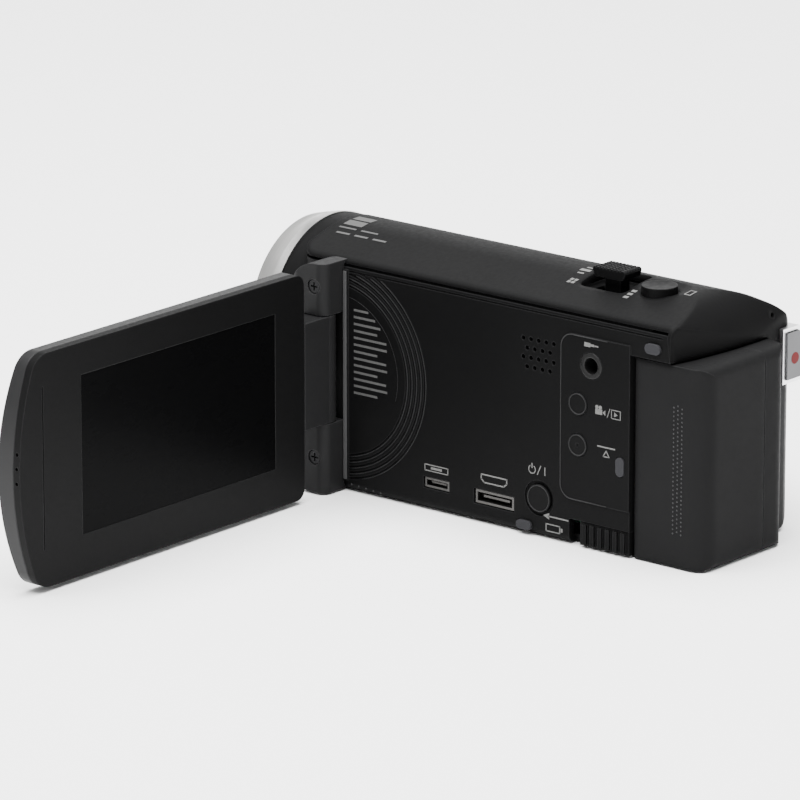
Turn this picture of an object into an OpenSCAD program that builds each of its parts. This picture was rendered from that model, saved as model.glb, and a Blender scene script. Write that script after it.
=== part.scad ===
// Compact camcorder with a fold-out display, battery pack, lens assembly and grip belt.
// Millimetres. +X is the operator's left (display side), -Y the lens, +Z up.
// The origin is the mouth of the tripod socket, on the underside.

/* [Body] */
// Wall thickness of the outer shells
wall = 1.6; // [1.2:0.1:2.2]
// Height of the lens axis above the base
lens_z = 32.7; // [31:0.1:34]
// Sideways position of the lens axis
lens_x = 0.5; // [0:0.1:1]
// Radius of the barrel part of the body
barrel_r = 21.1; // [20.5:0.1:21.5]
// Front end of the barrel
barrel_y = -42; // [-43:0.5:-41]
// Rear end of the body
rear_y = 65.3; // [65:0.1:65.6]

/* [Display] */
// Hinge axis, sideways
hinge_x = 22.7; // [22.5:0.1:23]
// Hinge axis, front to back
hinge_y = -27; // [-28:0.1:-26]
// Height of the display's own tilting axis
tilt_z = 25.4; // [25:0.1:26]
// Display lid: face that carries the screen
lid_face = -24.1; // [-24.3:0.1:-24]
// Display lid: back, at its thickest
lid_back = -30; // [-30:0.1:-29]
// Visible screen width
screen_w = 59.8; // [56:0.1:62]
// Visible screen height
screen_h = 33.6; // [32:0.1:35]

/* [Battery] */
// Front face of the battery pack
batt_y = 52.6; // [52.5:0.1:54]
// Rear face of the battery pack
batt_y1 = 71; // [68:0.5:80]
// Top of the battery pack
batt_z = 42.8; // [42:0.1:43]

/* [Hidden] */
$fn = 48;
gap = 0.1;
notch_x = -10.1;
notch_y = 52.3;
notch_z = 43.2;
part_z = 49.5;
grip_z = 36;
nose_y = -35.5;
base_x = -12.05;
base_y = -27.9;
tube_r1 = 18.5;
tube_r2 = 15;
tube_r3 = 14;
rod_r = 0.8;
rod_off = 11;
screw_off = 10;
// Radius of the gentle curve of the rear, seen from above
rear_curve = 110;
// Centres of the controls and sockets on the display side, as [y, z]
JACK = [42.3, 39.2];
MODE = [39, 30.6];
LEVEL = [39, 21.8];
POWER = [28.7, 8.3];
SPEAKER = [28.4, 39];
// Photo button on the top, as [x, y]
PHOTO = [4.8, 48.6];
// Centre of the ridges round the hinge side of the display bay, as [y, z]
RINGS = [-25.75, 26.4];
// Record button's stem at the rear corner, as [x, z]
RECORD = [-18.5, 37.5];
// Screws in the base, as [x, y], and heights of the bracket screws
BASE_SCREWS = [[12, -20], [12, 30], [-6, 44], [-8, -20]];
BRACKET_SCREWS = [8, 45.3];
// Belt anchors: places along the body, and the feet of each bar
ANCHOR_Y = [-26, 46];
ANCHOR_Z = [10, 34];
// Rubber pads that the closed display rests on: [x, y, z, length, height]
PADS = [[18.4, 50, 19.1, 2.3, 4.3], [18.1, 24.9, 1.9, 4.1, 2.2], [18.4, 58.1, 45.6, 4.1, 2.4]];

SECTION = [[17, 2, 2], [16.8, 48.3, 2.2], [0.5, 32.7, 21.1], [-3, 31, 21], [-13, 8, 8]];
SIDE = [[-28, 10, 10], [rear_y - 2, 2, 2], [rear_y - 10, 43.8, 10], [-35, 56, 3]];
PLAN = [[12, -31, 7], [16, 62.5, 3], [-13, 54.5, 11], [-14, -28, 10]];
PLAN_INSIDE = [[12, -31, 5.4], [15.9, 58.1, 1.5], [-19, 56.6, 3.4], [-14, -28, 8.4]];
// Rear end of the display-side panel, as [y, z]
PANEL_END = [[51.3, 43.2], [62.4, 43.2], [61.4, 50.5], [51.3, 50.5]];
LID = [[34.3, 3.4, 2.5], [110.83, 5.9, 5], [110.83, 44.9, 5], [34.3, 47.4, 2.5]];

function heading(a, b) = atan2(b[1] - a[1], b[0] - a[0]);
function span(a, b) = sqrt(pow(b[0] - a[0], 2) + pow(b[1] - a[1], 2));
function outward(a, b) = heading(a, b) - 90 + asin((a[2] - b[2]) / span(a, b));
function touch(c, r, n) = [c[0] + r * cos(n), c[1] + r * sin(n)];

// Outline around a ring of circles, moved inward by d
module chain(cs, d = 0) {
    n = len(cs);
    for (i = [0 : n - 1]) {
        translate([cs[i][0], cs[i][1]]) circle(r = cs[i][2] - d);
    }
    polygon([
        for (i = [0 : n - 1])
            for (e = [0 : 1])
                touch(cs[(i + e) % n], cs[(i + e) % n][2] - d, outward(cs[i], cs[(i + 1) % n]))
    ]);
}

module along_x(x0, x1) {
    translate([x0, 0, 0]) rotate([90, 0, 90]) linear_extrude(x1 - x0) children();
}

module along_y(y0, y1) {
    translate([0, y1, 0]) rotate([90, 0, 0]) linear_extrude(y1 - y0) children();
}

module along_z(z0, z1) {
    translate([0, 0, z0]) linear_extrude(z1 - z0) children();
}

module box(a, b) {
    translate(a) cube([b[0] - a[0], b[1] - a[1], b[2] - a[2]]);
}

module rod_x(x0, x1, y, z, r) {
    translate([x0, y, z]) rotate([0, 90, 0]) cylinder(h = x1 - x0, r = r);
}

module rod_y(y0, y1, x, z, r) {
    translate([x, y1, z]) rotate([90, 0, 0]) cylinder(h = y1 - y0, r = r);
}

module lens_rod(y0, y1, r) {
    rod_y(y0, y1, lens_x, lens_z, r);
}

// Turned shape about the lens axis: points are [radius, y]
module turned(pts) {
    translate([lens_x, 0, lens_z]) rotate([-90, 0, 0]) rotate_extrude() polygon(pts);
}

// Rounded upright plate, flat in y and z
module pill_x(x0, x1, y, z, ly, lz) {
    r = min(ly, lz) / 2;
    along_x(x0, x1) translate([y, z]) {
        for (s = [-1, 1]) {
            translate([s * (ly / 2 - r), s * (lz / 2 - r)]) circle(r = r);
        }
        square([ly > lz ? ly - 2 * r : ly, lz > ly ? lz - 2 * r : lz], center = true);
    }
}

// Main body as a closed solid, with a gently curved rear
module body_solid() {
    intersection() {
        along_y(-40, 66) chain(SECTION);
        along_x(-30, 30) chain(SIDE);
        along_z(-2, 70) chain(PLAN);
        translate([-6, rear_y - rear_curve, -4]) cylinder(h = 80, r = rear_curve, $fn = 240);
    }
}

// The space inside it
module body_space() {
    intersection() {
        along_y(-40, 66) chain(SECTION, wall);
        along_x(-30, 30) chain(SIDE, wall);
        along_z(-2, 70) chain(PLAN_INSIDE);
    }
}

module shell() {
    difference() {
        union() {
            body_solid();
            lens_rod(barrel_y, -30, barrel_r - 0.1);
        }
        body_space();
        lens_rod(barrel_y - 1, -30, barrel_r - wall - 0.1);
        box([notch_x, notch_y, -1], [30, 90, notch_z]);
    }
}

// Rear corner of the section that carries the record button
module trim_outline(d, z0, z1) {
    intersection() {
        translate([-3, 31]) circle(r = 21 - d);
        translate([-22 + d, z0]) square([7.1 - 2 * d, z1 - z0]);
    }
}

module trim_block(d, y0, y1) {
    along_y(y0, y1) trim_outline(d, 32.3 + d, 43.5 - d);
}

module top_cover() color([0.16, 0.16, 0.17]) {
    difference() {
        union() {
            intersection() {
                shell();
                union() {
                    box([lens_x, nose_y, part_z], [30, 70, 60]);
                    box([-30, nose_y, grip_z], [lens_x, 70, 60]);
                    box([-30, -50, lens_z], [30, nose_y, 60]);
                    difference() {
                        box([lens_x, 55, notch_z], [30, 70, 60]);
                        along_x(16.4, 31) translate([gap, 0]) polygon(PANEL_END);
                    }
                }
            }
            // thicker seat under the top controls
            box([-4, 28.5, 49], [9.8, 45, 51.6]);
            box([-1.5, 42, 49], [11, 55, 51.6]);
        }
        // lever pocket and slot
        along_z(50.9, 60) chain([[0.2, 32.4, 1.8], [7.4, 32.4, 1.8], [7.4, 40.8, 1.8], [0.2, 40.8, 1.8]]);
        box([2, 32, 45], [5.4, 41.8, 60]);
        // photo button well
        translate([PHOTO[0], PHOTO[1], 72.6]) sphere(r = 20, $fn = 96);
        translate([PHOTO[0], PHOTO[1], 45]) cylinder(h = 9, r = 3.85);
        // rear record button trim
        trim_block(-0.4, 59.4, 70);
        // lamp hole at the rear corner
        rod_y(55, 70, -12.4, 47.2, 0.6);
    }
}

module grip_cover() color([0.14, 0.14, 0.15]) {
    difference() {
        intersection() {
            shell();
            union() {
                box([-30, nose_y, -1], [base_x, 70, grip_z - gap]);
                box([-30, -50, -1], [30, nose_y, lens_z - gap]);
                box([base_x, nose_y, -1], [16.4, base_y, 12]);
            }
        }
        trim_block(-0.4, 59.4, 70);
        box([-19.15, -23, -5], [-12, 7, 6]);
        for (y = ANCHOR_Y) {
            for (z = ANCHOR_Z) {
                rod_x(-27, -15, y, z, 0.85);
            }
        }
    }
}

module base_plate() color([0.13, 0.13, 0.14]) {
    difference() {
        intersection() {
            shell();
            box([base_x + gap, base_y + gap, -1], [16.4, notch_y, 2.1]);
        }
        translate([0, 0, -1]) cylinder(h = 5, r = 5.05);
        box([16.4, 36.6, -1], [30, 52.25, 6]);
        for (p = BASE_SCREWS) {
            translate([p[0], p[1], -1]) cylinder(h = 2.02, r = 1.9);
            translate([p[0], p[1], -1]) cylinder(h = 4, r = 0.95);
        }
    }
}

module bay_panel() color([0.11, 0.11, 0.12]) {
    difference() {
        union() {
            intersection() {
                shell();
                union() {
                    box([16.5, nose_y + gap, -1], [30, notch_y, part_z - 0.6]);
                    intersection() {
                        box([16.5, notch_y - 1, notch_z], [30, 66, part_z - 0.6]);
                        along_x(10, 31) polygon(PANEL_END);
                    }
                }
            }
            // tongue that closes the parting groove from inside
            box([16.7, -30, 46], [17.9, 57, part_z - 0.05]);
            // raised frame around the jack and the mode buttons
            along_x(17.6, 19.3) intersection() {
                chain([[37.3, 12.8, 3], [56, 12.8, 3], [56, 42.2, 3], [37.3, 42.2, 3]]);
                translate([30, 0]) square([notch_y - 30, 60]);
            }
            // front lip of the display bay
            box([18, -24.05, 2.3], [19.45, -22.8, 48.4]);
            // wall pads behind the ports
            box([16.2, -4, 2.3], [17.6, 24, 9]);
        }
        for (i = [0 : 4]) {
            intersection() {
                rod_x(18.6, 19.2, RINGS[0], RINGS[1], 24 - 1.25 * i);
                difference() {
                    box([18, -22.7, 2.6], [20, 20, 48]);
                    rod_x(17, 21, RINGS[0], RINGS[1], 23.55 - 1.25 * i);
                }
            }
        }
        for (r = [0 : 3]) {
            for (c = [0 : 4 - r % 2]) {
                rod_x(15, 21, 24.3 + 2 * c + (r % 2), 42 - 2 * r, 0.5, $fn = 12);
            }
        }
        // fine line below the panel's top edge
        box([18.7, -22.6, 47.9], [20, 60.5, 48.25]);
        rod_x(15, 21, JACK[0], JACK[1], 2.85);
        rod_x(15, 21, MODE[0], MODE[1], 2.5);
        rod_x(15, 21, LEVEL[0], LEVEL[1], 2.5);
        rod_x(18.5, 21, POWER[0], POWER[1], 3.8);
        rod_x(15, 21, POWER[0], POWER[1], 3.1);
        box([15, 11.3, 3.9], [21, 22.1, 7.2]);
        box([15, -2.3, 4.7], [21, 4.7, 7.2]);
        box([16.4, 36.6, -1], [30, 52.25, 5.5]);
        for (z = BRACKET_SCREWS) {
            rod_x(12, 30, hinge_y, z, 0.9);
        }
        for (q = PADS) {
            pill_x(q[0], 20, q[1], q[2], q[3], q[4]);
        }
    }
}

module bay_wall() color([0.1, 0.1, 0.11]) {
    difference() {
        union() {
            box([notch_x - 1.5, notch_y - 1.5, 1.7], [17.3, notch_y, notch_z + 1.5]);
            box([notch_x - 0.4, notch_y - 0.1, notch_z + 0.02], [15, 58.5, notch_z + 1.5]);
            box([notch_x - 1.5, notch_y - 0.1, 1.7], [notch_x - 0.02, 59.3, notch_z + 1]);
        }
        box([16.3, 30, -1], [30, notch_y + 1, 6]);
        box([-2, notch_y - 3, 8], [10, notch_y + 3, 16]);
    }
}

module battery_terminals() color([0.72, 0.6, 0.3]) {
    box([-1.9, 49.5, 8.1], [9.9, 52.2, 15.9]);
    for (x = [0, 2.6, 5.2, 7.8]) {
        box([x, 52.1, 9.5], [x + 0.8, 53.2, 14.5]);
    }
}

module front_ring() color([0.78, 0.77, 0.75]) {
    turned([[18.1, -48.9], [18.5, -49.3], [19.3, -49.3], [19.75, -48.9], [20.35, -46.6],
        [20.9, -44.2], [21.2, barrel_y - 0.02], [19.35, barrel_y - 0.02], [19.35, -39.5], [18.7, -39.5],
        [18.7, -43], [18.1, -43.6]]);
}

module lens_hood() color([0.07, 0.07, 0.07]) {
    difference() {
        turned([[0, -48.4], [18, -48.4], [18, -42.8], [16.9, -42.8], [16.9, -47.3], [0, -47.3]]);
        along_y(-50, -45) translate([lens_x, lens_z]) square([22, 10], center = true);
        turned([[0, -46.3], [16.85, -46.3], [16.85, -40], [0, -40]]);
    }
}

module leaf(s) {
    intersection() {
        lens_rod(-47.1, -46.5, 16.6);
        translate([lens_x - 11.8, -48, lens_z + (s > 0 ? 5.3 : -10.9)]) cube([23.6, 3, 5.6]);
    }
}

module shutter_upper() color([0.1, 0.1, 0.1]) leaf(1);

module shutter_lower() color([0.1, 0.1, 0.1]) leaf(-1);

module front_glass() color([0.35, 0.4, 0.55]) {
    intersection() {
        lens_rod(-45.6, -39.5, 13.4);
        translate([lens_x, -15.6, lens_z]) sphere(r = 30, $fn = 96);
    }
}

module lens_tube() color([0.1, 0.1, 0.1]) {
    difference() {
        turned([[13.5, -45.6], [16.7, -45.6], [16.7, -39.2], [tube_r1, -39.2], [tube_r1, -30.3],
            [tube_r2, -30.3], [tube_r2, 8], [tube_r3, 8], [tube_r3, 31], [12.5, 31], [12.5, 8], [13, 8],
            [13, -37], [12, -37], [12, -39.4], [13.5, -39.4]]);
        lens_rod(-46, -45.5, 13.4);
    }
    for (s = [-1, 1]) {
        difference() {
            translate([lens_x - 2, -23.5, lens_z + s * 11.5 - 1.6]) cube([4, 2.5, 3.2]);
            rod_y(-30, 0, lens_x, lens_z + s * rod_off, rod_r + 0.01);
        }
    }
    intersection() {
        lens_rod(0, 31, 12.6);
        difference() {
            box([lens_x - 2.5, 28, lens_z - 20], [lens_x + 2.5, 30.9, lens_z + 20]);
            box([lens_x - 3, 27, lens_z - 8.5], [lens_x + 3, 31, lens_z + 8.5]);
            for (s = [-1, 1]) {
                rod_y(20, 40, lens_x, lens_z + s * rod_off, rod_r + 0.01);
            }
        }
    }
}

module guide_rods() color([0.75, 0.75, 0.76]) {
    for (s = [-1, 1]) {
        rod_y(-23.3, 30.6, lens_x, lens_z + s * rod_off, rod_r);
    }
}

module carriage(y, r, t) {
    difference() {
        union() {
            lens_rod(y, y + t, r);
            translate([lens_x - 1.8, y, lens_z - rod_off - 1.1]) cube([3.6, t, 2 * rod_off + 2.2]);
            children();
        }
        lens_rod(y - 1, y + t + 1, r - 1.4);
        for (s = [-1, 1]) {
            rod_y(y - 1, y + t + 1, lens_x, lens_z + s * rod_off, rod_r + 0.05);
        }
    }
}

module zoom_carriage() color([0.2, 0.2, 0.21]) {
    difference() {
        carriage(-17, 8.6, 5) {
            box([lens_x - screw_off - 1.8, -16, lens_z - 1.6], [lens_x - 7.4, -13, lens_z + 1.6]);
        }
        rod_y(-20, 0, lens_x - screw_off, lens_z, 1.0);
    }
}

module zoom_lens() color([0.35, 0.42, 0.5]) {
    intersection() {
        lens_rod(-16.6, -12.4, 7.15);
        translate([lens_x, 3.4, lens_z]) sphere(r = 20, $fn = 72);
    }
}

module focus_carriage() color([0.2, 0.2, 0.21]) {
    carriage(14, 6.6, 4);
}

module focus_lens() color([0.35, 0.42, 0.5]) {
    intersection() {
        lens_rod(14.3, 17.7, 5.15);
        translate([lens_x, 29.2, lens_z]) sphere(r = 15, $fn = 72);
    }
}

module lead_screw() color([0.7, 0.7, 0.72]) {
    rod_y(-19.5, 4, lens_x - screw_off, lens_z, 0.9);
}

module zoom_motor() color([0.55, 0.55, 0.57]) {
    rod_y(4.1, 12, lens_x - screw_off, lens_z, 2.2);
    box([lens_x - 12.4, 12, lens_z - 1], [lens_x - 9, 13.2, lens_z + 1]);
}

module sensor_block() color([0.1, 0.28, 0.18]) {
    box([-12, 32.4, 21], [12.6, 33.6, 45]);
    box([lens_x - 4, 31.4, lens_z - 3.2], [lens_x + 4, 32.4, lens_z + 3.2]);
    difference() {
        lens_rod(31.05, 32.4, 12.4);
        lens_rod(30, 34, 11);
    }
}

module chassis() color([0.45, 0.46, 0.48]) {
    difference() {
        union() {
            box([-10, -22, 1.7], [12.4, 49, 3]);
            box([-8, -20, 2.9], [9, -16, 24]);
            box([-8, 22, 2.9], [9, 26, 24]);
            box([-8, 34, 2.9], [8, 35.5, 21]);
        }
        lens_rod(-30, 7.9, tube_r2 + 0.05);
        lens_rod(7.9, 40, tube_r3 + 0.05);
        translate([0, 0, -1]) cylinder(h = 12, r = 5.05);
        for (p = BASE_SCREWS) {
            translate([p[0], p[1], -1]) cylinder(h = 9, r = 0.85);
        }
    }
}

module main_board() color([0.1, 0.3, 0.18]) {
    difference() {
        union() {
            box([12.9, -20, 3.3], [14.1, 50, 16.4]);
            box([12.9, 34, 16.3], [14.1, 50, 46]);
            for (c = [MODE, LEVEL, POWER]) {
                rod_x(14, 15.2, c[0], c[1], 1.2);
            }
        }
        rod_x(12, 16, JACK[0], JACK[1], 3);
        box([12, 36, 1], [16, 53, 7]);
    }
    for (y = [2, 15]) {
        box([11.9, y, 6], [12.9, y + 9, 13]);
    }
}

module hdmi_port() color([0.6, 0.6, 0.62]) {
    difference() {
        box([14.15, 11.6, 4.1], [18.7, 21.8, 7]);
        box([15, 12.1, 4.6], [19, 21.3, 6.5]);
    }
    box([14.9, 13.2, 5.35], [18, 20.2, 5.85]);
}

module usb_port() color([0.6, 0.6, 0.62]) {
    difference() {
        box([14.15, -2.1, 4.9], [18.7, 4.5, 7]);
        box([15, -1.6, 5.35], [19, 4, 6.55]);
    }
    box([14.9, -0.8, 5.75], [18, 3.2, 6.15]);
}

module av_jack() color([0.12, 0.12, 0.12]) {
    difference() {
        rod_x(8.5, 19.35, JACK[0], JACK[1], 2.75);
        rod_x(9.5, 20, JACK[0], JACK[1], 1.75);
    }
}

module speaker() color([0.25, 0.25, 0.26]) {
    difference() {
        rod_x(14.9, 17.3, SPEAKER[0], SPEAKER[1], 6.4);
        rod_x(15.6, 18, SPEAKER[0], SPEAKER[1], 5.6);
    }
    rod_x(15.5, 16.4, SPEAKER[0], SPEAKER[1], 4.4);
}

module hinge_bracket(z0, z1) {
    difference() {
        intersection() {
            along_z(z0, z1) {
                chain([[23.2, -31.3, 2.2], [23.2, -26.3, 2.2], [16.5, -26.1, 2], [16.5, -31.5, 2]]);
            }
            along_x(10, 30) chain([[-28, 5.7, 5.5], [-20, 1.2, 1], [-20, 49.3, 1], [-26.6, 43.4, 6.9]]);
        }
        body_solid();
        lens_rod(barrel_y - 2, -29.95, barrel_r - 0.08);
        children();
    }
}

module bracket_upper() color([0.13, 0.13, 0.14]) {
    hinge_bracket(39.1, 50.3) {
        translate([hinge_x, hinge_y, 38]) cylinder(h = 4.5, r = 1.52);
        rod_x(15, 30, hinge_y, BRACKET_SCREWS[1], 0.9);
        rod_x(24.2, 30, hinge_y, BRACKET_SCREWS[1], 1.6);
    }
}

module bracket_lower() color([0.13, 0.13, 0.14]) {
    hinge_bracket(0.2, 15.5) {
        translate([hinge_x, hinge_y, 12.1]) cylinder(h = 9, r = 1.52);
        rod_x(15, 30, hinge_y, BRACKET_SCREWS[0], 0.9);
        rod_x(24.2, 30, hinge_y, BRACKET_SCREWS[0], 1.6);
    }
}

module cross_head(l) {
    difference() {
        union() {
            cylinder(h = 0.9, r = 1.45);
            translate([0, 0, 0.8]) cylinder(h = l, r = 0.8);
        }
        translate([-0.9, -0.18, -0.1]) cube([1.8, 0.36, 0.6]);
        translate([-0.18, -0.9, -0.1]) cube([0.36, 1.8, 0.6]);
    }
}

module bracket_screws() color([0.3, 0.3, 0.31]) {
    for (z = BRACKET_SCREWS) {
        translate([25.15, hinge_y, z]) rotate([0, -90, 0]) cross_head(7);
    }
}

module base_screws() color([0.3, 0.3, 0.31]) {
    for (p = BASE_SCREWS) {
        translate([p[0], p[1], 0.08]) cross_head(1.9);
    }
}

module hinge_pins() color([0.7, 0.7, 0.72]) {
    translate([hinge_x, hinge_y, 12.2]) cylinder(h = 30.2, r = 1.5);
}

module hinge_arm() color([0.12, 0.12, 0.13]) {
    difference() {
        union() {
            translate([hinge_x, hinge_y, 15.7]) cylinder(h = 23.2, r = 2.95);
            box([hinge_x, -29.9, 15.7], [31.5, -24.2, 38.9]);
        }
        translate([hinge_x, hinge_y, 10]) cylinder(h = 40, r = 1.54);
        rod_x(25.5, 40, hinge_y, tilt_z, 1.12);
    }
}

module tilt_shaft() color([0.7, 0.7, 0.72]) {
    rod_x(25.6, 42, hinge_y, tilt_z, 1.05);
}

module lid_outline(d) {
    chain(LID, d);
    intersection() {
        translate([59.4, 25.4]) circle(r = 60 - d, $fn = 240);
        polygon([[59.4, 25.4], [110.83, 5.9], [125, 0.53], [125, 50.27], [110.83, 44.9]]);
    }
}

module lcd_bezel() color([0.13, 0.13, 0.14]) {
    difference() {
        along_y(-25.9, lid_face) lid_outline(0);
        along_y(-27, -20) translate([41.1, 26.3 - screen_h / 2]) square([screen_w, screen_h]);
        box([112.2, lid_face - 0.3, 8.8], [112.55, lid_face + 1, 43.1]);
        for (z = [24.2, 27.3, 30.3]) {
            rod_x(118.2, 121, -25, z, 0.4, $fn = 16);
        }
    }
}

module lcd_back() color([0.15, 0.15, 0.16]) {
    difference() {
        intersection() {
            along_y(lid_back, -25.95) lid_outline(0);
            rod_x(30, 125, lid_back + 205, 25.4, 205, $fn = 360);
        }
        along_y(lid_back + 1.4, -20) lid_outline(1.4);
        rod_x(30, 40, hinge_y, tilt_z, 1.1);
    }
    difference() {
        box([33.4, -28.7, tilt_z - 5], [40.5, -25.97, tilt_z + 5]);
        rod_x(30, 45, hinge_y, tilt_z, 1.1);
    }
}

module lcd_screen() color([0.05, 0.05, 0.06]) {
    box([41.15, -25.4, 26.35 - screen_h / 2], [41.05 + screen_w, lid_face - 0.12, 26.25 + screen_h / 2]);
}

module lcd_backlight() color([0.8, 0.8, 0.8]) {
    box([43, -27.4, 7], [104, -26, 45.4]);
}

module zoom_lever() color([0.1, 0.1, 0.1]) {
    difference() {
        union() {
            along_x(1, 6.6) chain([[33.7, 54.9, 0.8], [39.9, 54.9, 0.8], [40.4, 55.6, 0.6], [33.2, 55.6, 0.6]]);
            box([2.2, 34.8, 48], [5.2, 38.8, 54.6]);
            box([1, 34.4, 47.6], [6.4, 39.4, 48.6]);
        }
        // knurling
        for (i = [0 : 7]) {
            box([0, 33.3 + 0.9 * i, 55.95], [8, 33.6 + 0.9 * i, 57]);
        }
        for (i = [0 : 5]) {
            box([1.4 + 0.9 * i, 30, 55.95], [1.7 + 0.9 * i, 45, 57]);
        }
    }
}

module photo_button() color([0.15, 0.15, 0.16]) {
    translate([PHOTO[0], PHOTO[1], 0]) {
        difference() {
            translate([0, 0, 48.5]) cylinder(h = 6, r = 3.75);
            translate([0, 0, 79.2]) sphere(r = 25, $fn = 96);
        }
        translate([0, 0, 47.2]) cylinder(h = 1.5, r = 4.6);
    }
}

module rec_trim() color([0.75, 0.75, 0.76]) {
    difference() {
        trim_block(-0.3, 59.5, 65.9);
        trim_block(0.5, 62, 70);
        rod_y(50, 70, RECORD[0], RECORD[1], 1.8);
    }
}

module rec_button() color([0.12, 0.12, 0.13]) {
    trim_block(0.6, 63, 66.4);
    rod_y(57, 63.2, RECORD[0], RECORD[1], 1.6);
}

module power_button() color([0.15, 0.15, 0.16]) {
    rod_x(16.6, 19.25, POWER[0], POWER[1], 3);
    rod_x(15.85, 16.7, POWER[0], POWER[1], 3.6);
}

module mode_button() color([0.15, 0.15, 0.16]) {
    rod_x(16.6, 19.5, MODE[0], MODE[1], 2.4);
    rod_x(15.85, 16.7, MODE[0], MODE[1], 3.2);
}

module level_button() color([0.15, 0.15, 0.16]) {
    difference() {
        rod_x(16.6, 19.5, LEVEL[0], LEVEL[1], 2.4);
        rod_x(19.3, 20, LEVEL[0], LEVEL[1], 0.4, $fn = 16);
    }
    rod_x(15.85, 16.7, LEVEL[0], LEVEL[1], 3.2);
}

module battery_latch() color([0.14, 0.14, 0.15]) {
    box([16.5, 39.3, 0.3], [18.7, 52.1, 5.3]);
    for (i = [0 : 5]) {
        box([18.6, 40.2 + 2 * i, 0.6], [19.3, 41.2 + 2 * i, 5]);
    }
    box([14.5, 44, 2.6], [16.6, 47, 4.6]);
}

// Battery pack seen from above, with its front corners at a given y
function pack_plan(front) = [
    [17.3, front, 1], [14.5, batt_y1 - 3.8, 3.8], [-5.9, batt_y1 - 3.8, 3.8], [-8.7, front, 1]
];

module battery_case() color([0.2, 0.2, 0.2]) {
    difference() {
        intersection() {
            along_z(0, batt_z) chain(pack_plan(batt_y + 1));
            along_x(-12, 20) chain([[batt_y, 1.6, 1.5], [batt_y1 - 1.6, 1.7, 1.6],
                [batt_y1 - 2, batt_z - 2, 2], [batt_y, batt_z - 1.6, 1.5]]);
        }
        along_z(1.4, batt_z - 1.6) chain(pack_plan(batt_y - 3), 0.98);
        box([-1.85, batt_y1 - 0.2, -1], [-1.6, 80, 50]);
        box([-1.85, 56, batt_z - 0.2], [-1.6, 80, 50]);
    }
}

module battery_plate() color([0.16, 0.16, 0.16]) {
    difference() {
        box([-8.5, batt_y + 0.1, 1.6], [17.1, batt_y + 1.5, batt_z - 1.8]);
        box([-2.2, batt_y - 1, 7.8], [10.2, batt_y + 3, 16.2]);
    }
}

module battery_contacts() color([0.75, 0.62, 0.3]) {
    box([-2.1, batt_y + 0.9, 7.9], [10.1, batt_y + 1.6, 16.1]);
}

module battery_cells() color([0.3, 0.45, 0.6]) {
    for (x = [-2, 10.6]) {
        translate([x, 62, 2]) cylinder(h = 38.6, r = 6.1);
    }
}

module card_slot() color([0.5, 0.5, 0.52]) {
    difference() {
        box([-18.4, -21.4, 7], [-14.8, 5.4, 38]);
        box([-17.4, -20.3, 5], [-15.1, 4.3, 37.4]);
    }
}

module memory_card() color([0.1, 0.15, 0.3]) {
    along_x(-17.3, -15.2) polygon([[-20.2, 4.4], [4.2, 4.4], [4.2, 36.4], [-16.5, 36.4], [-20.2, 32.7]]);
}

module card_door() color([0.14, 0.14, 0.15]) {
    intersection() {
        shell();
        box([-18.35, -22.85, -5], [-12.15, 6.85, 6]);
    }
    rod_y(-22.85, 6.85, -18.6, 2.9, 0.5);
}

module tripod_socket() color([0.7, 0.7, 0.72]) {
    difference() {
        cylinder(h = 8, r = 5);
        translate([0, 0, -1]) cylinder(h = 7.5, r = 3);
    }
}

module bumper_pads() color([0.38, 0.38, 0.4]) {
    for (q = PADS) {
        pill_x(q[0] + 0.05, 19.53, q[1], q[2], q[3] - 0.2, q[4] - 0.2);
    }
}

module strap_anchors() color([0.6, 0.6, 0.62]) {
    for (y = ANCHOR_Y) {
        translate([-27, y, 9]) cylinder(h = 26, r = 1);
        for (z = ANCHOR_Z) {
            rod_x(-27, -16, y, z, 0.8);
        }
    }
}

module grip_belt() color([0.1, 0.1, 0.1]) {
    intersection() {
        difference() {
            translate([35, 10, 11]) cylinder(h = 22, r = 73, $fn = 240);
            translate([35, 10, 10]) cylinder(h = 24, r = 71, $fn = 240);
        }
        box([-40, -22, 10], [-25, 42, 34]);
    }
}

top_cover();
grip_cover();
base_plate();
bay_panel();
bay_wall();
battery_terminals();
front_ring();
lens_hood();
shutter_upper();
shutter_lower();
front_glass();
lens_tube();
guide_rods();
zoom_carriage();
zoom_lens();
focus_carriage();
focus_lens();
lead_screw();
zoom_motor();
sensor_block();
chassis();
main_board();
hdmi_port();
usb_port();
av_jack();
speaker();
bracket_upper();
bracket_lower();
bracket_screws();
base_screws();
hinge_pins();
hinge_arm();
tilt_shaft();
lcd_bezel();
lcd_back();
lcd_screen();
lcd_backlight();
zoom_lever();
photo_button();
rec_trim();
rec_button();
power_button();
mode_button();
level_button();
battery_latch();
battery_case();
battery_plate();
battery_contacts();
battery_cells();
card_slot();
memory_card();
card_door();
tripod_socket();
bumper_pads();
strap_anchors();
grip_belt();
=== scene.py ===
"""Looks for the camcorder: camera, light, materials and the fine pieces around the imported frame."""

import math

import bmesh
import bpy
from mathutils import Matrix, Vector
from mathutils.bvhtree import BVHTree


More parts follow.
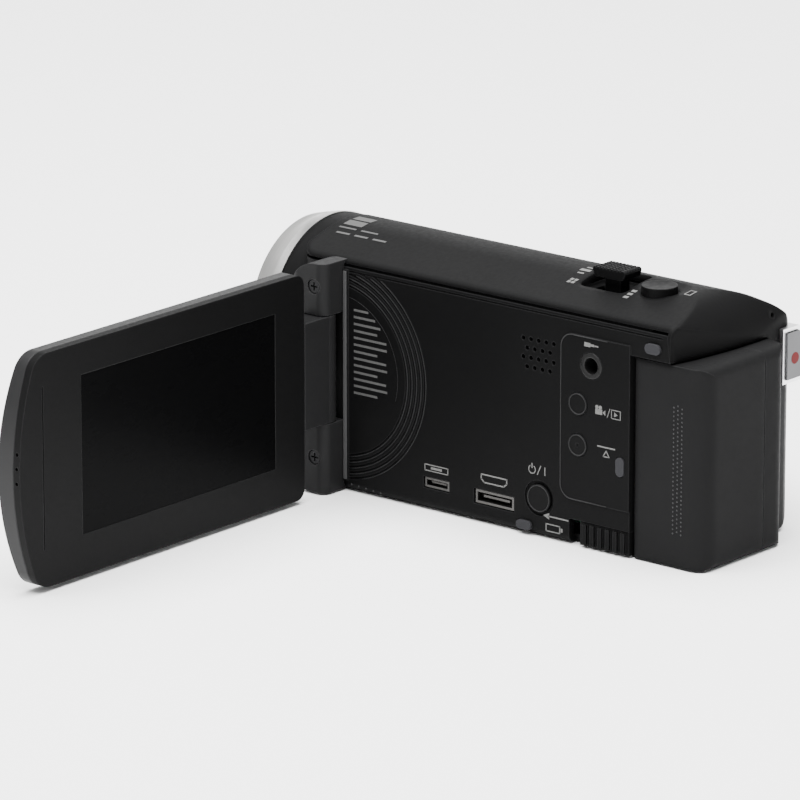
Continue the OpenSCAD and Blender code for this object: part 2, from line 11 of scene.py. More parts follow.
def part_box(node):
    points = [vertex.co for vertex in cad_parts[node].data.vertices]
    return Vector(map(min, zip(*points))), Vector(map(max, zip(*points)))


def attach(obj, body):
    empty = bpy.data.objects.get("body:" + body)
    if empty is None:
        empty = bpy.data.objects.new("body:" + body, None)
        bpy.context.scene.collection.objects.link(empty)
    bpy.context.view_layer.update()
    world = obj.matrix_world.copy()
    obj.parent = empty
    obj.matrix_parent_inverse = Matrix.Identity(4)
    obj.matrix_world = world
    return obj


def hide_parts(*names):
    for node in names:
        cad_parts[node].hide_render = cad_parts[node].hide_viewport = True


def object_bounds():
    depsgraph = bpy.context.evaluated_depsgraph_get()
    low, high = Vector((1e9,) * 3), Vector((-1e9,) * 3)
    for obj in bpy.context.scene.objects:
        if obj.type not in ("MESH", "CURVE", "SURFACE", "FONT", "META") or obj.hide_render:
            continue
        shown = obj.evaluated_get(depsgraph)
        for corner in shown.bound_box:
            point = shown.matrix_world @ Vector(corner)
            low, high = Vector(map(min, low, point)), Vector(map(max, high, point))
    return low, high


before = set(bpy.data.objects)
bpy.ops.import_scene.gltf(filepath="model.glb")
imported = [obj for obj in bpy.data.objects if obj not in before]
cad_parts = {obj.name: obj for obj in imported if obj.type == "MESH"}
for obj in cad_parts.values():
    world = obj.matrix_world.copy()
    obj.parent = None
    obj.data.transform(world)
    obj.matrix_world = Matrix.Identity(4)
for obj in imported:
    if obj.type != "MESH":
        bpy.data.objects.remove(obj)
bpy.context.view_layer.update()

MM = 0.001

# Camera
CAM_AZIMUTH = 129.74
CAM_ELEVATION = 16.1
CAM_DISTANCE = 1.4263
CAM_TARGET = Vector((0.02947, 0.0, 0.02646))
CAM_LENS = 309.4
CAM_SENSOR = 36.0


# ---------------------------------------------------------------- small tools


def link(obj):
    """Puts a new object in the scene."""
    bpy.context.scene.collection.objects.link(obj)
    return obj


def mesh_object(name, verts, faces, smooth=False):
    """Object from vertices and faces."""
    mesh = bpy.data.meshes.new(name)
    mesh.from_pydata([tuple(v) for v in verts], [], faces)
    mesh.validate()
    mesh.update()
    if smooth:
        mesh.shade_smooth()
    return link(bpy.data.objects.new(name, mesh))


def bm_object(name, bm):
    """Object from a bmesh, with its faces turned outwards."""
    mesh = bpy.data.meshes.new(name)
    bmesh.ops.recalc_face_normals(bm, faces=bm.faces)
    bm.to_mesh(mesh)
    bm.free()
    return link(bpy.data.objects.new(name, mesh))


def face_outwards(obj):
    """Turns every face of a finished object outwards."""
    bm = bmesh.new()
    bm.from_mesh(obj.data)
    bmesh.ops.recalc_face_normals(bm, faces=bm.faces)
    bm.to_mesh(obj.data)
    bm.free()


def finish_piece(obj, body, material):
    """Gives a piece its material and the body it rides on."""
    obj.data.materials.clear()
    obj.data.materials.append(material)
    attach(obj, body)
    return obj


# ------------------------------------------------------------------ materials


class Nodes:
    """Short helper around one material's node tree."""

    def __init__(self, name):
        self.mat = bpy.data.materials.new(name)
        self.mat.use_nodes = True
        self.tree = self.mat.node_tree
        self.bsdf = self.tree.nodes["Principled BSDF"]
        self.coords = self.tree.nodes.new("ShaderNodeTexCoord").outputs["Object"]

    def new(self, kind, **values):
        """Node with its properties and inputs set."""
        node = self.tree.nodes.new(kind)
        for key, value in values.items():
            if hasattr(node, key):
                setattr(node, key, value)
            else:
                node.inputs[key].default_value = value
        return node

    def join(self, a, b):
        self.tree.links.new(a, b)

    def surface(self, **values):
        """Sets or links the shader's inputs; an underscore stands for a space in an input's name."""
        for key, value in values.items():
            socket = self.bsdf.inputs[key.replace("_", " ")]
            if isinstance(value, bpy.types.NodeSocket):
                self.join(value, socket)
            else:
                socket.default_value = value

    def noise(self, scale, detail=3.0, rough=0.55, stretch=None):
        source = self.coords
        if stretch:
            mapping = self.new("ShaderNodeMapping", Scale=stretch)
            self.join(source, mapping.inputs["Vector"])
            source = mapping.outputs["Vector"]
        node = self.new("ShaderNodeTexNoise", Scale=scale, Detail=detail, Roughness=rough)
        self.join(source, node.inputs["Vector"])
        return node.outputs["Fac"]

    def ramp(self, source, a, b, low=0.3, high=0.7):
        """Maps low to high, where most of a noise lies, onto a to b."""
        node = self.new("ShaderNodeMapRange")
        node.inputs["From Min"].default_value = low
        node.inputs["From Max"].default_value = high
        node.inputs["To Min"].default_value = a
        node.inputs["To Max"].default_value = b
        self.join(source, node.inputs["Value"])
        return node.outputs["Result"]

    def mix(self, factor, a, b):
        """Mix of two colours; of the node's sockets, 6, 7 and output 2 are the colour ones."""
        node = self.new("ShaderNodeMix", data_type="RGBA")
        self.join(factor, node.inputs["Factor"])
        for socket, colour in ((node.inputs[6], a), (node.inputs[7], b)):
            if isinstance(colour, tuple):
                socket.default_value = (*colour, 1.0)
            else:
                self.join(colour, socket)
        return node.outputs[2]

    def bump(self, source, strength, distance, under=None):
        node = self.new("ShaderNodeBump", Strength=strength, Distance=distance)
        self.join(source, node.inputs["Height"])
        if under:
            self.join(under, node.inputs["Normal"])
        return node.outputs["Normal"]

    def edge(self, width):
        """About 0 on flats and 1 along convex edges."""
        rounded = self.new("ShaderNodeBevel", samples=4, Radius=width)
        geometry = self.new("ShaderNodeNewGeometry")
        dot = self.new("ShaderNodeVectorMath", operation="DOT_PRODUCT")
        self.join(rounded.outputs["Normal"], dot.inputs[0])
        self.join(geometry.outputs["Normal"], dot.inputs[1])
        return self.ramp(dot.outputs["Value"], 0.0, 1.0, low=1.0, high=0.86)


def grey(level, blue=None):
    """Neutral colour, or one with its blue set apart."""
    return (level, level, blue or level)


def scaled(colour, share):
    """A colour made paler or deeper."""
    return tuple(min(1.0, c * share) for c in colour)


def plastic(name, colour, rough, grain, depth, spread, wear_and_highlight_gain=1.35, spec=0.5, soft=0.0003):
    """Moulded plastic: spark-eroded grain, uneven tone and gloss, and paler edges that are part rubbed wear
    and part painted highlight.

    grain is in marks per metre, depth and the edge radius soft are in metres, spread is how far the tone
    wanders, and the edge gain is how much paler an edge is, for rubbed wear and painted highlight.
    """
    n = Nodes(name)
    fine = n.noise(grain, 4.0, 0.6)
    broad = n.noise(38.0)
    base = n.mix(n.ramp(broad, 0.0, 1.0), scaled(colour, 1.0 - spread), scaled(colour, 1.0 + spread))
    round_edges = n.new("ShaderNodeBevel", samples=6, Radius=soft)
    n.surface(
        # Paler along convex edges: partly rubbed wear, partly painted highlight
        Base_Color=n.mix(n.edge(0.00035), base, scaled(colour, wear_and_highlight_gain)),
        Roughness=n.ramp(fine, rough - 0.05, rough + 0.07),
        Specular_IOR_Level=spec,
        Normal=n.bump(fine, 0.35, depth, round_edges.outputs["Normal"]),
    )
    return n.mat


def metal(name, colour, rough, stretch=(1.0, 1.0, 1.0), scale=260.0, depth=0.00002, aniso=0.0):
    """Turned or drawn metal: streaks along the lay and uneven gloss."""
    n = Nodes(name)
    streak = n.noise(scale, 4.0, 0.6, stretch)
    broad = n.noise(60.0, 2.0)
    n.surface(
        Base_Color=n.mix(streak, scaled(colour, 0.9), scaled(colour, 1.06)),
        Roughness=n.ramp(broad, rough - 0.04, rough + 0.06),
        Metallic=1.0,
        Anisotropic=aniso,
        Normal=n.bump(streak, 0.3, depth),
    )
    return n.mat


def ink(name, colour, rough=0.5):
    """Pad-printed marking ink."""
    n = Nodes(name)
    speck = n.noise(2200.0)
    n.surface(
        Base_Color=n.mix(n.ramp(speck, 0.0, 1.0, low=0.35, high=0.65), scaled(colour, 0.8), colour),
        Roughness=n.ramp(speck, rough - 0.05, rough + 0.1),
        Specular_IOR_Level=0.12,
        Normal=n.bump(speck, 0.2, 0.00001),
    )
    return n.mat


def lens_glass(name):
    """Coated optical glass: dark, very smooth, with a violet and green bloom."""
    n = Nodes(name)
    violet = (0.012, 0.01, 0.03)
    green = (0.008, 0.022, 0.02)
    bloom = n.ramp(n.noise(45.0, 2.0), 0.0, 1.0, low=0.35, high=0.65)
    n.surface(
        Base_Color=n.mix(bloom, violet, green),
        IOR=1.7,
        Coat_Weight=1.0,
        Coat_Roughness=0.02,
        Coat_Tint=(0.65, 0.7, 1.0, 1.0),
        Roughness=n.ramp(n.noise(900.0), 0.03, 0.07),
    )
    return n.mat


def screen_glass(name):
    """Unlit display under glass: near black, with faint smears."""
    n = Nodes(name)
    smear = n.noise(70.0, 5.0, 0.65, (1.0, 1.0, 2.2))
    n.surface(
        Base_Color=n.mix(smear, grey(0.0016, 0.0017), grey(0.0019, 0.002)),
        Roughness=n.ramp(smear, 0.26, 0.3, low=0.35),
        Specular_IOR_Level=0.015,
        Normal=n.bump(n.noise(1500.0), 0.05, 0.00001),
    )
    return n.mat


def webbing(name, colour):
    """Woven belt: crossed ribs with a soft sheen."""
    n = Nodes(name)
    ribs = n.new("ShaderNodeMath", operation="MULTIPLY")
    for i, lay in enumerate("YZ"):
        wave = n.new("ShaderNodeTexWave", wave_type="BANDS", bands_direction=lay, Scale=420.0, Distortion=0.6,
                     Detail=1.0)
        n.join(n.coords, wave.inputs["Vector"])
        n.join(wave.outputs["Fac"], ribs.inputs[i])
    height = ribs.outputs["Value"]
    n.surface(
        Base_Color=n.mix(height, colour, scaled(colour, 1.9)),
        Roughness=n.ramp(n.noise(400.0), 0.75, 0.95),
        Specular_IOR_Level=0.12,
        Sheen_Weight=0.04,
        Sheen_Roughness=0.5,
        Normal=n.bump(height, 0.7, 0.00015),
    )
    return n.mat


# Each plastic: colour, roughness, grain, grain depth, tone spread, edge gain (rubbed wear and painted
# highlight), specular level, edge radius
COVER = plastic("cover_plastic", grey(0.0052, 0.0053), 0.44, 1100.0, 0.00002, 0.08, 2.1, 0.022, 0.0015)
BODY = plastic("body_plastic", grey(0.0068, 0.007), 0.45, 1000.0, 0.00003, 0.08, 1.9, 0.05, 0.0008)
PANEL = plastic("panel_plastic", grey(0.0036, 0.0037), 0.5, 1300.0, 0.00003, 0.08, 3.6, 0.03)
LIP = plastic("lip_plastic", grey(0.046, 0.0465), 0.42, 1300.0, 0.00003, 0.06, 1.5, 0.05)
# Paler plastic of the beads: painted highlight along the bay's ridges, the frame's edge and the button rims
RIDGE_HIGHLIGHT = plastic("ridge_highlight_plastic", grey(0.016, 0.0163), 0.42, 1300.0, 0.00002, 0.06, 1.3, 0.08)
DOT = plastic("dot_plastic", grey(0.035, 0.036), 0.4, 900.0, 0.00002, 0.05, 1.2, 0.1)
LID_FACE = plastic("lid_face_plastic", grey(0.0042, 0.0043), 0.46, 1200.0, 0.00003, 0.06, 3.4, 0.035)
LID_BACK = plastic("lid_back_plastic", grey(0.0105, 0.0108), 0.38, 1100.0, 0.00002, 0.08, 1.8, 0.12)
HINGE = plastic("hinge_plastic", grey(0.0115, 0.0118), 0.45, 1000.0, 0.00003, 0.08, 2.6, 0.05)
CONTROL = plastic("control_plastic", grey(0.0034, 0.0035), 0.4, 900.0, 0.00003, 0.1, 3.6, 0.035)
# The battery's large edge gain also paints the highlight along its rounded rear corner
BATTERY = plastic("battery_plastic", grey(0.0092, 0.0094), 0.46, 850.0, 0.00003, 0.06, 2.8, 0.015, 0.0022)
DARK = plastic("dark_plastic", grey(0.0028, 0.003), 0.55, 900.0, 0.00004, 0.1, 2.0, 0.03)
JACK = plastic("jack_plastic", grey(0.006), 0.3, 900.0, 0.00001, 0.03, 2.4, 0.15)
PAD = plastic("pad_rubber", grey(0.022, 0.024), 0.6, 1500.0, 0.00003, 0.08, 1.3, 0.05)
BOARD = plastic("solder_mask", (0.012, 0.07, 0.035), 0.35, 500.0, 0.00005, 0.35)
CELL = plastic("cell_film", (0.02, 0.06, 0.14), 0.3, 400.0, 0.00002, 0.2)
DIFFUSER = plastic("diffuser", grey(0.6), 0.6, 600.0, 0.00003, 0.05)
CARD = plastic("card_plastic", (0.015, 0.02, 0.06), 0.4, 800.0, 0.00004, 0.15)

# Each metal: colour, roughness, stretch of the streaks, their scale
SILVER = metal("ring_silver", (0.96, 0.945, 0.925), 0.3, (1.0, 14.0, 1.0), 160.0, depth=0.00001, aniso=0.5)
TRIM = metal("trim_silver", grey(0.85, 0.86), 0.3, (1.0, 6.0, 1.0), 200.0, depth=0.00001)
SMOKED = metal("smoked_silver", grey(0.1, 0.103), 0.36, (1.0, 6.0, 1.0), 200.0, depth=0.00001)
STEEL = metal("plain_steel", grey(0.56, 0.58), 0.3, (1.0, 8.0, 1.0), 300.0)
PORT = metal("port_steel", (0.07, 0.068, 0.066), 0.4, (6.0, 1.0, 1.0), 300.0)
SCREW = metal("black_screw", grey(0.014, 0.0145), 0.42, (1.0, 1.0, 6.0), 300.0)
GOLD = metal("gold_contact", (0.83, 0.62, 0.3), 0.28, (1.0, 1.0, 6.0), 300.0)
CAST = metal("cast_chassis", (0.42, 0.43, 0.45), 0.5, scale=700.0, depth=0.00006)

GLASS = lens_glass("coated_glass")
SCREEN = screen_glass("screen_glass")
BELT = webbing("belt_webbing", grey(0.006, 0.0065))
THREAD = webbing("belt_thread", grey(0.014, 0.0145))
INK = ink("marking_ink", grey(0.115, 0.112))
INK_DIM = ink("dim_marking_ink", grey(0.065, 0.064))
RED = ink("record_red", (0.11, 0.004, 0.005), 0.45)

NODE_MATERIALS = {
    COVER: ["top_cover"],
    BODY: ["grip_cover", "base_plate", "card_door", "strap_anchors"],
    PANEL: ["bay_panel", "bay_wall"],
    LID_FACE: ["lcd_bezel"],
    LID_BACK: ["lcd_back"],
    HINGE: ["hinge_arm", "bracket_upper", "bracket_lower"],
    CONTROL: ["zoom_lever", "photo_button", "power_button", "mode_button", "level_button", "battery_latch"],
    SMOKED: ["rec_button"],
    JACK: ["av_jack"],
    BATTERY: ["battery_case", "battery_plate"],
    DARK: ["lens_hood", "lens_tube", "shutter_upper", "shutter_lower", "zoom_carriage", "focus_carriage",
           "speaker"],
    PAD: ["bumper_pads"],
    SILVER: ["front_ring"],
    TRIM: ["rec_trim"],
    STEEL: ["guide_rods", "lead_screw", "zoom_motor", "hinge_pins", "tilt_shaft", "tripod_socket",
            "card_slot"],
    PORT: ["hdmi_port", "usb_port"],
    SCREW: ["bracket_screws", "base_screws"],
    GOLD: ["battery_terminals", "battery_contacts"],
    CAST: ["chassis"],
    GLASS: ["front_glass", "zoom_lens", "focus_lens"],
    SCREEN: ["lcd_screen"],
    BOARD: ["main_board", "sensor_block"],
    CELL: ["battery_cells"],
    DIFFUSER: ["lcd_backlight"],
    CARD: ["memory_card"],
    BELT: ["grip_belt"],
}
for material, names in NODE_MATERIALS.items():
    for name in names:
        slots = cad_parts[name].data.materials
        slots.clear()
        slots.append(material)


# -------------------------------------------------------------------- printed marks

# Depth of the bay's wall, and of the raised frame round the jack and the two small buttons
BAY_X = 0.019
FRAME_X = 0.0193
MARK_LIFT = 0.00004

# Centre of the ridges in the bay and the radius of the finest one, in mm to the rear and up
RING_Y = -25.75
RING_Z = 26.4
FINE_RADIUS = 16.4


def slabs(name, outlines, to_world, body, material, thickness=MARK_LIFT):
    """One object from thin slabs: to_world maps (u, v, height) of each outline to a place."""
    verts, faces = [], []
    for outline in outlines:
        first = len(verts)
        count = len(outline)
        for height in (0.0, thickness):
            verts += [to_world(u, v, height) for u, v in outline]
        faces.append(tuple(first + i for i in range(count)))
        faces.append(tuple(first + count + i for i in reversed(range(count))))
        for i in range(count):
            k = (i + 1) % count
            faces.append((first + i, first + k, first + count + k, first + count + i))
    obj = mesh_object(name, verts, faces)
    face_outwards(obj)
    return finish_piece(obj, body, material)


def rect(u, v, w, h):
    """Corners of a rectangle about its centre."""
    return [(u - w / 2, v - h / 2), (u + w / 2, v - h / 2), (u + w / 2, v + h / 2), (u - w / 2, v + h / 2)]


def box_line(u, v, w, h):
    """Closed polyline round a rectangle."""
    corners = rect(u, v, w, h)
    return corners + corners[:1]


def arc_line(u, v, r, angles):
    """Points of an arc at the given angles, in degrees."""
    return [(u + r * math.cos(math.radians(a)), v + r * math.sin(math.radians(a))) for a in angles]


def broken_ring(u, v, r0, r1, a0, a1, steps=28):
    """Outline of a band between two radii and two angles."""
    angles = [a0 + (a1 - a0) * i / steps for i in range(steps + 1)]
    return arc_line(u, v, r1, angles) + arc_line(u, v, r0, reversed(angles))


def disc(u, v, r, steps=24):
    """Outline of a full circle."""
    return arc_line(u, v, r, [360 * i / steps for i in range(steps)])


def stroke(points, width):
    """Outlines of a polyline drawn with a pen of the given width."""
    result = []
    for (u0, v0), (u1, v1) in zip(points, points[1:]):
        d = Vector((u1 - u0, v1 - v0)).normalized()
        s = Vector((-d.y, d.x)) * width / 2
        e = d * width / 4
        result.append([(u0 - e.x - s.x, v0 - e.y - s.y), (u1 + e.x - s.x, v1 + e.y - s.y),
                       (u1 + e.x + s.x, v1 + e.y + s.y), (u0 - e.x + s.x, v0 - e.y + s.y)])
    return result


def finer(points, parts):
    """A polyline with each side cut into equal parts."""
    result = []
    for (u0, v0), (u1, v1) in zip(points, points[1:]):
        result += [(u0 + (u1 - u0) * i / parts, v0 + (v1 - v0) * i / parts) for i in range(parts)]
    return result + [points[-1]]


def centre_mm(node, axes):
    """Centre of a node's box along two axes, in mm to the nearest 0.01."""
    lo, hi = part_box(node)
    middle = (lo + hi) / 2 / MM
    return [round(getattr(middle, axis), 2) for axis in axes]


def on_side(x):
    """Marks on a face that looks along +X: u runs to the rear and v up, both in mm."""
    return lambda u, v, h: Vector((x + h, u * MM, v * MM))


def side_mark(name, outlines, x=BAY_X, material=INK):
    """Mark printed on the side panel, in the bay or on the raised frame."""
    slabs(name, outlines, on_side(x), "camera", material)


def notice_bars():
    """Notice inside the finest ridge, as plain unlettered bars with ragged ends."""
    left = -21.3
    top = 39.9
    rows = 13
    pitch = 1.5
    thick = 0.5
    shortest = 6.4
    spread = 3.4
    gap_to_ridge = 0.9
    bars = []
    for row in range(rows):
        v = top - pitch * row
        room = RING_Y + math.sqrt(FINE_RADIUS ** 2 - (v - RING_Z) ** 2) - gap_to_ridge - left
        width = min(room, shortest + spread * math.sin(row * 2.1) ** 2)
        bars.append(rect(left + width / 2, v, width, thick))
    side_mark("notice_bars", bars, material=INK_DIM)


def power_mark():
    """Broken circle with a bar, a slash and a short stroke, above the power button."""
    button_u, button_v = centre_mm("power_button", "yz")
    u = button_u - 1.9
    v = button_v + 5.9
    shapes = [broken_ring(u, v, 0.75, 0.98, -240, 60), rect(u, v + 0.8, 0.25, 1.1)]
    shapes.append(rect(u + 3.4, v + 0.1, 0.25, 1.8))
    shapes += stroke([(u + 1.4, v - 0.9), (u + 2.3, v + 1.1)], 0.22)
    side_mark("power_mark", shapes)


def mode_mark():
    """Camera outline, slash and framed play triangle, beside the upper small button."""
    button_u, button_v = centre_mm("mode_button", "yz")
    u = button_u + 5.4
    v = button_v - 0.7
    shapes = [rect(u, v, 1.8, 1.15), disc(u - 0.5, v + 0.95, 0.42), disc(u + 0.4, v + 0.95, 0.42)]
    shapes.append([(u + 1.0, v), (u + 1.7, v + 0.6), (u + 1.7, v - 0.6)])
    shapes += stroke([(u + 2.2, v - 0.8), (u + 2.9, v + 1.1)], 0.16)
    shapes += stroke(box_line(u + 4.45, v + 0.1, 2.3, 1.8), 0.18)
    shapes.append([(u + 4.0, v - 0.4), (u + 4.9, v + 0.1), (u + 4.0, v + 0.6)])
    side_mark("mode_mark", shapes, FRAME_X)


def level_mark():
    """Bar over a triangle, beside the lower small button."""
    button_u, button_v = centre_mm("level_button", "yz")
    u = button_u + 7.4
    v = button_v - 1.2
    shapes = [rect(u, v + 2.0, 4.6, 0.3)]
    shapes += stroke([(u - 0.8, v), (u + 0.8, v), (u, v + 1.3), (u - 0.8, v)], 0.22)
    side_mark("level_mark", shapes, FRAME_X)


def jack_mark():
    """Plain plug above the audio and video socket."""
    u, jack_v = centre_mm("av_jack", "yz")
    v = jack_v + 4.4
    shapes = [rect(u - 1.0, v, 1.6, 0.9), rect(u + 0.3, v, 1.1, 0.5), rect(u + 1.4, v, 0.9, 0.28)]
    side_mark("jack_mark", shapes, FRAME_X)


def small_port_mark():
    """Plain outlined socket with a tongue, above the small data port."""
    u, port_v = centre_mm("usb_port", "yz")
    v = port_v + 3.3
    side_mark("port_mark", stroke(box_line(u, v, 6.2, 1.3), 0.22) + [rect(u, v, 3.0, 0.5)])


def wide_port_mark():
    """Plain outlined socket with two cut corners, above the wide data port."""
    u, port_v = centre_mm("hdmi_port", "yz")
    left = u - 3.4
    right = u + 3.4
    cut = 0.8
    top = port_v + 5.05
    middle = top - 1.0
    low = top - 1.7
    outline = [(left, top), (right, top), (right, middle), (right - cut, low)]
    outline += [(left + cut, low), (left, middle), (left, top)]
    side_mark("wide_port_mark", stroke(outline, 0.3))


def release_mark():
    """Arrow and a plain cell outline, beside the battery release."""
    latch_u, latch_v = centre_mm("battery_latch", "yz")
    u = latch_u - 13.3
    arrow_v = latch_v + 2.1
    cell_v = latch_v - 0.35
    shapes = stroke([(u - 1.2, arrow_v), (u + 4.0, arrow_v)], 0.3)
    shapes.append([(u - 1.0, arrow_v + 0.7), (u - 1.0, arrow_v - 0.7), (u - 2.6, arrow_v)])
    shapes += stroke(box_line(u, cell_v, 3.6, 1.5), 0.25)
    shapes.append(rect(u + 2.3, cell_v, 0.5, 0.8))
    side_mark("release_mark", shapes)


# Marks on the curved top lie on the cover's own surface
COVER_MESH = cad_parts["top_cover"].data
COVER_TREE = BVHTree.FromPolygons(
    [v.co for v in COVER_MESH.vertices],
    [p.vertices for p in COVER_MESH.polygons],
)


def on_top(u, v, h):
    """Place on the top cover at (u, v), in mm, lifted by 1.5 h so that flat ink clears the curve."""
    hit = COVER_TREE.ray_cast(Vector((u * MM, v * MM, 0.1)), Vector((0, 0, -1)))[0]
    if hit is None:
        hit = COVER_TREE.find_nearest(Vector((u * MM, v * MM, 0.053)))[0]
    return hit + Vector((0, 0, 1.5 * h))


def top_mark(name, outlines, material=INK):
    """Mark printed on the top cover: u runs to the operator's left and v to the rear."""
    slabs(name, outlines, on_top, "camera", material)


def zoom_marks():
    """Wide and close ends: small blocks behind the lever, and taller ones ahead of it."""
    u, v = centre_mm("zoom_lever", "xy")
    behind = v + 7.1
    ahead = v - 8.9
    wide_end = [rect(u + 6.2 - 1.4 * i, behind, 0.8, 1.2) for i in range(3)]
    close_end = [rect(u - 0.8, ahead, 1.0, 2.6)]
    close_end += [rect(u - 0.8 + side, ahead, 0.5, 1.6) for side in (-1.6, 1.6)]
    index_end = [rect(u + 3.8 + 1.1 * i, ahead + 0.1 + 1.1 * j, 0.8, 0.8) for i in range(2) for j in range(2)]
    top_mark("zoom_marks", wide_end + close_end + index_end)


def still_mark():
    """Outlined frame behind the photo button."""
    u, v = centre_mm("photo_button", "xy")
    top_mark("still_mark", stroke(finer(box_line(u - 1.5, v + 6.8, 2.2, 1.4), 4), 0.28))


def barrel_lines():
    """Unlettered decoration blocks on the barrel."""
    lines = [rect(0.8 + 3.0 * i, -33.5, 2.3, 5.0) for i in range(2)]
    lines += [rect(6.3, -33.6 + 6.0 * i, 0.5, 4.6) for i in range(2)]
    lines += [rect(8.6, -33.0 + 5.0 * i, 0.6, 3.6) for i in range(3)]
    top_mark("barrel_lines", lines, INK_DIM)


notice_bars()
power_mark()
mode_mark()
level_mark()
jack_mark()
small_port_mark()
wide_port_mark()
release_mark()
zoom_marks()
still_mark()
barrel_lines()


# ------------------------------------------------------------------- fine relief and painted highlight beads


def tube_mesh(paths, radius, sides=6):
    """Vertices and faces of round beads along open paths."""
    verts, faces = [], []
    for path in paths:
        first = len(verts)
        for i, point in enumerate(path):
            ahead = path[min(i + 1, len(path) - 1)] - path[max(i - 1, 0)]
            ahead.normalize()
            if i == 0:
                side = ahead.orthogonal().normalized()
            else:
                side = (side - ahead * side.dot(ahead)).normalized()
            up = ahead.cross(side)
            for k in range(sides):
                a = math.tau * k / sides
                verts.append(point + side * radius * math.cos(a) + up * radius * math.sin(a))
        for i in range(len(path) - 1):
            for k in range(sides):
                j = (k + 1) % sides
                faces.append((first + i * sides + k, first + i * sides + j,
                              first + (i + 1) * sides + j, first + (i + 1) * sides + k))
        faces.append(tuple(first + k for k in reversed(range(sides))))
        last = first + (len(path) - 1) * sides
        faces.append(tuple(last + k for k in range(sides)))
    return verts, faces


def highlight_bead(name, paths, radius, body="camera"):
    """Raised bead along paths on the left side, in a paler plastic that paints a highlight line."""
    obj = mesh_object(name, *tube_mesh(paths, radius), smooth=True)
    finish_piece(obj, body, RIDGE_HIGHLIGHT)


def side_arc(u, v, radius, a0, a1, x, steps):
    """Places along an arc on the left side; angles in degrees from +Y towards +Z."""
    angles = [a0 + (a1 - a0) * i / steps for i in range(steps + 1)]
    return [Vector((x, y * MM, z * MM)) for y, z in arc_line(u, v, radius, angles)]


def ridge_arc(radius, z_low, z_high):
    """Part of a ring about the ridges' centre, between two heights and behind the bay's lip."""
    lip_y = -22.5
    low = math.degrees(math.asin(max(-1.0, (z_low - RING_Z) / radius)))
    high = math.degrees(math.asin(min(1.0, (z_high - RING_Z) / radius)))
    edge = math.degrees(math.acos((lip_y - RING_Y) / radius))
    return side_arc(RING_Y, RING_Z, radius, max(low, -edge), min(high, edge), BAY_X, 48)


def ridge_highlight_beads():
    """Pale beads that paint the highlights of five ridges round the hinge side of the bay, and of a finer one
    inside them.
    """
    widest = 24.12
    pitch = 1.25
    highlight_bead("bay_ridge_highlights", [ridge_arc(widest - pitch * i, 3.2, 47.4) for i in range(5)], 0.00011)
    highlight_bead("bay_fine_ridge_highlight", [ridge_arc(FINE_RADIUS, 22.0, 47.0)], 0.00007)


def frame_highlight_bead():
    """Pale bead that paints the highlight on the rounded edge of the raised frame; it runs out to the rear at
    both ends.
    """
    front = 34.45
    rear = 46.5
    low = 9.95
    high = 45.05
    corner = 2.85
    path = [Vector((FRAME_X, rear * MM, low * MM))]
    path += side_arc(front + corner, low + corner, corner, 270, 180, FRAME_X, 10)
    path += side_arc(front + corner, high - corner, corner, 180, 90, FRAME_X, 10)
    path.append(Vector((FRAME_X, rear * MM, high * MM)))
    highlight_bead("bay_frame_edge_highlight", [path], 0.00013)


def button_rim_highlights():
    """Pale ring that paints the highlight on the rounded rim of each round button on the left side."""
    for name, radius in (("power", 2.75), ("mode", 2.15), ("level", 2.15)):
        u, v = centre_mm(name + "_button", "yz")
        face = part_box(name + "_button")[1].x
        rim = side_arc(u, v, radius, 0, 360, face, 40)
        highlight_bead(name + "_button_rim_highlight", [rim], 0.00012, name + "_button_body")


def domes(name, centres, radius, rise, x, body, sides=10):
    """Small raised dots on a face that looks along +X."""
    place = on_side(x)
    verts, faces = [], []
    # Share of the radius and of the rise at each ring, from the foot up
    rings = ((1.0, 0.0), (0.8, 0.55), (0.42, 0.9))
    for u, v in centres:
        first = len(verts)
        for share, height in rings:
            for k in range(sides):
                a = math.tau * k / sides
                du = radius * share * math.cos(a)
                dv = radius * share * math.sin(a)
                verts.append(place(u + du, v + dv, rise * height))
        verts.append(place(u, v, rise))
        for r in range(len(rings) - 1):
            for k in range(sides):
                j = (k + 1) % sides
                faces.append((first + r * sides + k, first + r * sides + j,
                              first + (r + 1) * sides + j, first + (r + 1) * sides + k))
        last = first + (len(rings) - 1) * sides
        faces += [(last + k, last + (k + 1) % sides, last + sides) for k in range(sides)]
        faces.append(tuple(first + k for k in reversed(range(sides))))
    obj = mesh_object(name, verts, faces, smooth=True)
    finish_piece(obj, body, DOT)


def battery_dots():
    """Finger grip on the pack's side: three staggered columns of dots."""
    columns = 3
    rows = 30
    column_pitch = 1.05
    row_pitch = 0.92
    case_u, case_v = centre_mm("battery_case", "yz")
    first_u = case_u + 1.15
    first_v = case_v - 14.15
    centres = [(first_u + column_pitch * c, first_v + row_pitch * (r + 0.5 * (c % 2)))
               for c in range(columns) for r in range(rows)]
    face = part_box("battery_case")[1].x
    domes("battery_grip_dots", centres, 0.2, 0.00012, face, "battery")


def record_dot():
    """Red dot on the record button's face, which looks to the rear."""
    button_x, button_z = centre_mm("rec_button", "xz")
    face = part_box("rec_button")[1].y
    dot = disc(button_x + 0.35, button_z - 0.7, 1.25, 32)
    slabs("record_dot", [dot], lambda u, v, h: Vector((u * MM, face + h, v * MM)), "rec_button_body",
          RED)


def lip_strip():
    """Paler moulded edge along the front of the display bay."""
    size = (0.0004, 0.0011, 0.0458)
    centre = (0.01933, -0.02342, 0.02535)
    bm = bmesh.new()
    bmesh.ops.create_cube(bm, size=1.0)
    bmesh.ops.scale(bm, vec=size, verts=bm.verts)
    bmesh.ops.bevel(bm, geom=bm.edges[:], offset=0.00012, segments=2, affect="EDGES")
    bmesh.ops.translate(bm, vec=centre, verts=bm.verts)
    finish_piece(bm_object("bay_lip_strip", bm), "camera", LIP)


